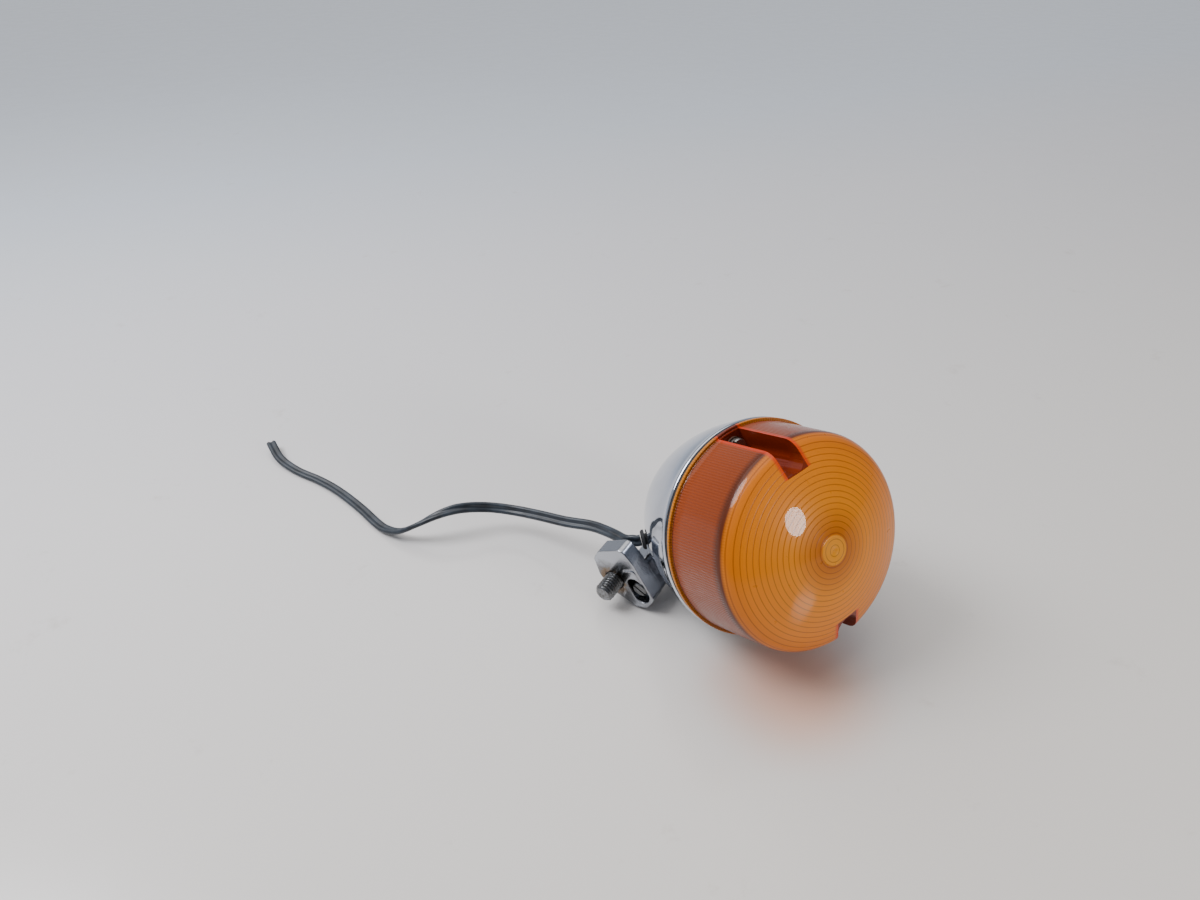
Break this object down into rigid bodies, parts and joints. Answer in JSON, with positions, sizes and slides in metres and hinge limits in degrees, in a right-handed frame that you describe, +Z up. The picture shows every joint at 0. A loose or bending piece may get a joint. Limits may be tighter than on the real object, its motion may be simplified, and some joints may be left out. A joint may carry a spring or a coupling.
{
  "type": "motorcycle turn signal lamp",
  "caption": "Round motorcycle turn signal lamp: chromed bowl, fluted amber lens held by screws in its side channels, side mount with a threaded stud, and a two-wire lead.",
  "frame": {"origin": "on the table, under the middle of the lamp without its lead", "axes": "+Z up, -Y the side that the lens faces; the lens axis is tipped up by 22.85 degrees; +X is level and away from the mount"},
  "size_m": [0.1838, 0.258, 0.0889],
  "materials": {
    "chrome_plate": "bright chrome plate on pressed steel",
    "chromed_casting": "chrome plated light-alloy die casting",
    "amber_acrylic": "translucent amber moulding, fluted and ringed",
    "black_oxide_steel": "dark oxide finish, worn at the edges",
    "zinc_plated_steel": "dull zinc plate",
    "brass": "drawn brass, lightly tarnished",
    "bright_aluminium": "bright dipped sheet",
    "clear_glass": "clear blown glass",
    "brown_fibre": "pressed fibre board",
    "solder": "soft solder",
    "tungsten_wire": "drawn tungsten",
    "black_rubber": "moulded rubber",
    "black_vinyl": "extruded vinyl"
  },
  "bodies": {
    "lamp": {"housing_shell": "chrome_plate", "inner_wire_1": "black_vinyl", "inner_wire_2": "black_vinyl", "lead_grommet": "black_rubber", "lead_wire_1": "black_vinyl", "lead_wire_2": "black_vinyl", "lens_gasket": "black_rubber", "lens_post_1": "zinc_plated_steel", "lens_post_2": "zinc_plated_steel", "mount_neck": "chromed_casting", "neck_screw_1": "zinc_plated_steel", "neck_screw_2": "zinc_plated_steel", "reflector": "bright_aluminium", "socket_insulator": "brown_fibre", "socket_rivet_1": "zinc_plated_steel", "socket_rivet_2": "zinc_plated_steel", "socket_shell": "brass", "socket_spring": "zinc_plated_steel"},
    "lens": {"lens": "amber_acrylic", "lens_screw_1": "zinc_plated_steel", "lens_screw_2": "zinc_plated_steel", "washer_1": "brown_fibre", "washer_2": "brown_fibre"},
    "bulb": {"bulb_base": "brass", "bulb_glass": "clear_glass", "bulb_contact": "solder", "bulb_mount": "clear_glass", "bulb_filament": "tungsten_wire", "bulb_pin_1": "brass", "bulb_pin_2": "brass"},
    "contact": {"contact_button": "brass"},
    "foot": {"mount_foot": "chromed_casting", "mount_stud": "black_oxide_steel", "clamp_screw": "black_oxide_steel", "clamp_washer": "zinc_plated_steel"}
  },
  "joints": [
    {"name": "lens_off", "type": "slide", "parent": "lamp", "child": "lens", "axis": [0, -0.9215, 0.3883], "range_m": [0, 0.045]},
    {"name": "bulb_push", "type": "slide", "parent": "lamp", "child": "bulb", "axis": [0, 0.9215, -0.3883], "range_m": [0, 0.0016], "stiffness_N_per_m": 3000},
    {"name": "contact_push", "type": "slide", "parent": "lamp", "child": "contact", "axis": [0, 0.9215, -0.3883], "range_m": [0, 0.0016]},
    {"name": "foot_turn", "type": "hinge", "parent": "lamp", "child": "foot", "pos_m": [-0.03356, 0.01604, 0.01083], "axis": [-0.8919, -0.4301, -0.1398], "range_deg": [-15, 15]}
  ],
  "couplings": [
    {"joint": "contact_push", "follows": "bulb_push", "ratio": 1}
  ]
}
